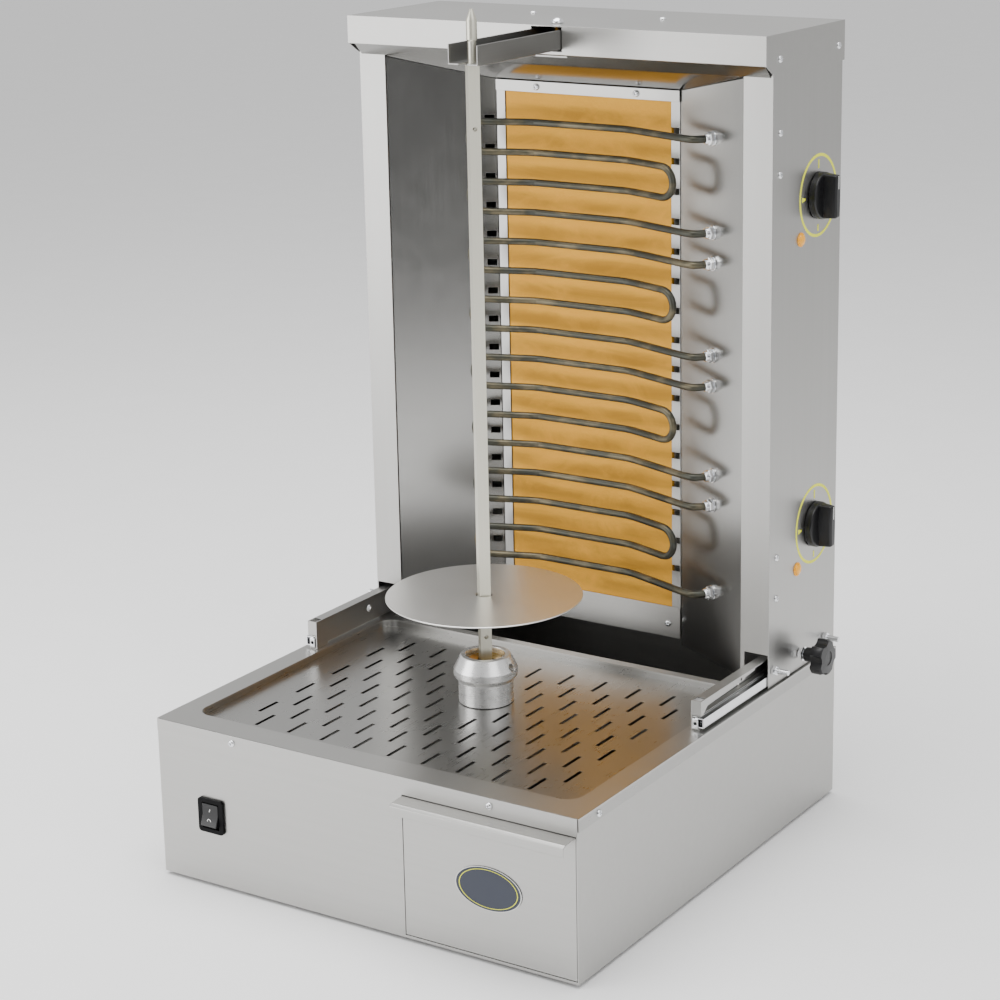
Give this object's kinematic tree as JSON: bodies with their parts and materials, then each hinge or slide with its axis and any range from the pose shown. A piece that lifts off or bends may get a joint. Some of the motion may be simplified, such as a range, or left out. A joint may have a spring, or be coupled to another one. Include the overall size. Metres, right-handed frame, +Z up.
{
  "type": "vertical spit grill",
  "caption": "Upright electric meat grill: slotted drip base with drawer, turning spit with a disc, and a sliding radiant cabinet with bent heating elements, a hood and heat knobs.",
  "frame": {"origin": "on the surface the feet stand on, under the middle of the whole object's box", "axes": "+Z up, the spit's direction; -Y is the front, with the drawer and the switch; +X is the right side, with the heat knobs, for someone facing the front"},
  "size_m": [0.569, 0.59, 0.904],
  "materials": {
    "stainless": "brushed stainless sheet",
    "polished_steel": "bright polished stainless sheet",
    "zinc_plate": "zinc plated steel",
    "turned_aluminium": "turned and polished",
    "brass": "turned brass",
    "plated_screw": "brass thumb screw",
    "element_sheath": "oxidised alloy sheath",
    "vermiculite_board": "matt pressed heat board",
    "mineral_wool": "felted fibre",
    "black_plastic": "moulded satin black",
    "black_rubber": "moulded",
    "amber_lens": "moulded lens",
    "cast_housing": "painted casting",
    "badge_enamel": "enamelled plate without lettering"
  },
  "bodies": {
    "base": {"base_shell": "stainless", "base_floor": "stainless", "slotted_deck": "polished_steel", "drip_funnel": "stainless", "rubber_foot_1": "black_rubber", "rubber_foot_2": "black_rubber", "rubber_foot_3": "black_rubber", "rubber_foot_4": "black_rubber", "motor_bridge": "stainless", "gear_motor": "cast_housing", "shaft_bush": "brass", "switch_housing": "black_plastic", "terminal_block": "black_plastic", "cable_gland": "black_plastic", "drawer_runner_left": "zinc_plate", "drawer_runner_right": "zinc_plate", "rail_bracket_left": "stainless", "rail_bracket_right": "stainless", "rail_fixed_left": "zinc_plate", "rail_fixed_right": "zinc_plate"},
    "drawer": {"drawer_front": "stainless", "drawer_tray": "stainless", "badge": "badge_enamel"},
    "rocker": {"switch_rocker": "black_plastic"},
    "spit": {"drive_shaft": "stainless", "drive_hub": "turned_aluminium", "hub_ring": "brass", "spit_bar": "stainless", "cross_pin": "stainless", "disc_pin": "stainless"},
    "disc": {"meat_disc": "polished_steel"},
    "cabinet": {"side_panel_left": "stainless", "side_panel_right": "stainless", "cabinet_back": "stainless", "cabinet_floor": "stainless", "hood": "stainless", "ceiling_reflector": "polished_steel", "side_reflector_left": "polished_steel", "side_reflector_right": "polished_steel", "radiant_board": "vermiculite_board", "wool_blanket": "mineral_wool", "frame_top_strip": "stainless", "frame_bottom_strip": "stainless", "frame_strip_left": "stainless", "frame_strip_right": "stainless", "heating_element_1": "element_sheath", "heating_element_2": "element_sheath", "heating_element_3": "element_sheath", "heating_element_4": "element_sheath", "rail_moving_left": "zinc_plate", "rail_moving_right": "zinc_plate", "heat_regulator_upper": "black_plastic", "heat_regulator_lower": "black_plastic", "pilot_lamp_upper": "amber_lens", "pilot_lamp_lower": "amber_lens"},
    "knob_upper": {"heat_knob_upper": "black_plastic"},
    "knob_lower": {"heat_knob_lower": "black_plastic"},
    "clamp": {"clamp_knob": "black_plastic"},
    "arm": {"spit_arm": "stainless"},
    "thumb": {"thumb_screw": "plated_screw"}
  },
  "joints": [
    {"name": "cabinet_slide", "type": "slide", "parent": "base", "child": "cabinet", "axis": [0, -1, 0], "range_m": [0, 0.08]},
    {"name": "arm_slide", "type": "slide", "parent": "cabinet", "child": "arm", "axis": [0, 1, 0], "range_m": [0, 0.08]},
    {"name": "thumb_screw_turn", "type": "hinge", "parent": "cabinet", "child": "thumb", "pos_m": [-0.0085, 0.125, 0.864], "axis": [0, 0, 1], "range_deg": [0, 360]},
    {"name": "clamp_knob_turn", "type": "hinge", "parent": "cabinet", "child": "clamp", "pos_m": [0.2615, 0.193, 0.196], "axis": [1, 0, 0], "range_deg": [0, 360]},
    {"name": "heat_knob_upper_turn", "type": "hinge", "parent": "cabinet", "child": "knob_upper", "pos_m": [0.2615, 0.227, 0.696], "axis": [-1, 0, 0], "range_deg": [0, 270]},
    {"name": "heat_knob_lower_turn", "type": "hinge", "parent": "cabinet", "child": "knob_lower", "pos_m": [0.2615, 0.227, 0.335], "axis": [-1, 0, 0], "range_deg": [0, 270]},
    {"name": "spit_spin", "type": "hinge", "parent": "base", "child": "spit", "pos_m": [-0.0085, -0.037, 0.204], "axis": [0, 0, 1], "continuous": true},
    {"name": "disc_lift", "type": "slide", "parent": "spit", "child": "disc", "axis": [0, 0, 1], "range_m": [0, 0.5]},
    {"name": "drawer_slide", "type": "slide", "parent": "base", "child": "drawer", "axis": [0, -1, 0], "range_m": [0, 0.3]},
    {"name": "switch_tilt", "type": "hinge", "parent": "base", "child": "rocker", "pos_m": [-0.1985, -0.269, 0.082], "axis": [1, 0, 0], "range_deg": [0, 20]}
  ],
  "couplings": [
    {"joint": "arm_slide", "follows": "cabinet_slide", "ratio": 1}
  ]
}
